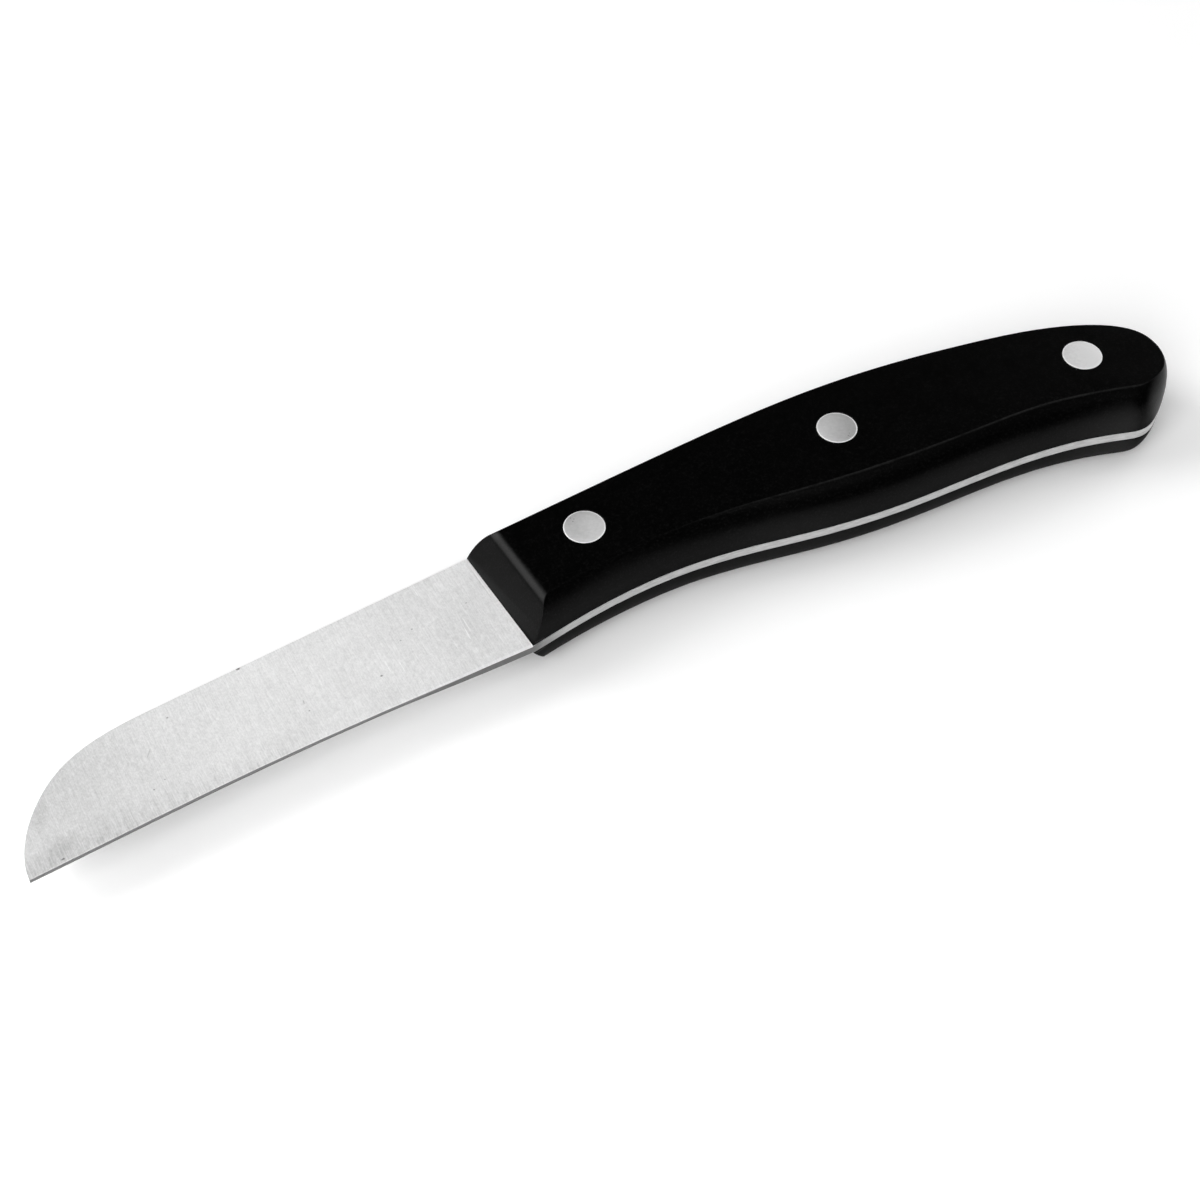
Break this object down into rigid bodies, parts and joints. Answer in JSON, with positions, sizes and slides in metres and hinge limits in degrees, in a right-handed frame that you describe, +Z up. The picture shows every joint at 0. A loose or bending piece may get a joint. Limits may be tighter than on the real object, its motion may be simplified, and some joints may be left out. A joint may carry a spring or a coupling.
{
  "type": "paring knife",
  "caption": "Small kitchen knife with a straight edge, a swept tip, a full tang and black moulded scales held by flush cutler's rivets.",
  "frame": {"origin": "the middle of the knife's box, at its bottom: on the surface that the knife lies on", "axes": "+X runs along the spine from the tip to the butt, +Y from the cutting edge to the spine, +Z up from the right scale through the tang to the left scale"},
  "size_m": [0.187, 0.0334, 0.0135],
  "materials": {
    "blade_steel": "satin stainless steel, ground across the blade",
    "handle_plastic": "black plastic with a very fine grain on its faces and a satin front bevel",
    "rivet_steel": "satin rivet heads, sanded flush with the handle"
  },
  "bodies": {
    "root": {"blade": "blade_steel", "left_scale": "handle_plastic", "right_scale": "handle_plastic", "front_rivet_post": "rivet_steel", "front_rivet_barrel": "rivet_steel", "middle_rivet_post": "rivet_steel", "middle_rivet_barrel": "rivet_steel", "rear_rivet_post": "rivet_steel", "rear_rivet_barrel": "rivet_steel"}
  },
  "joints": []
}
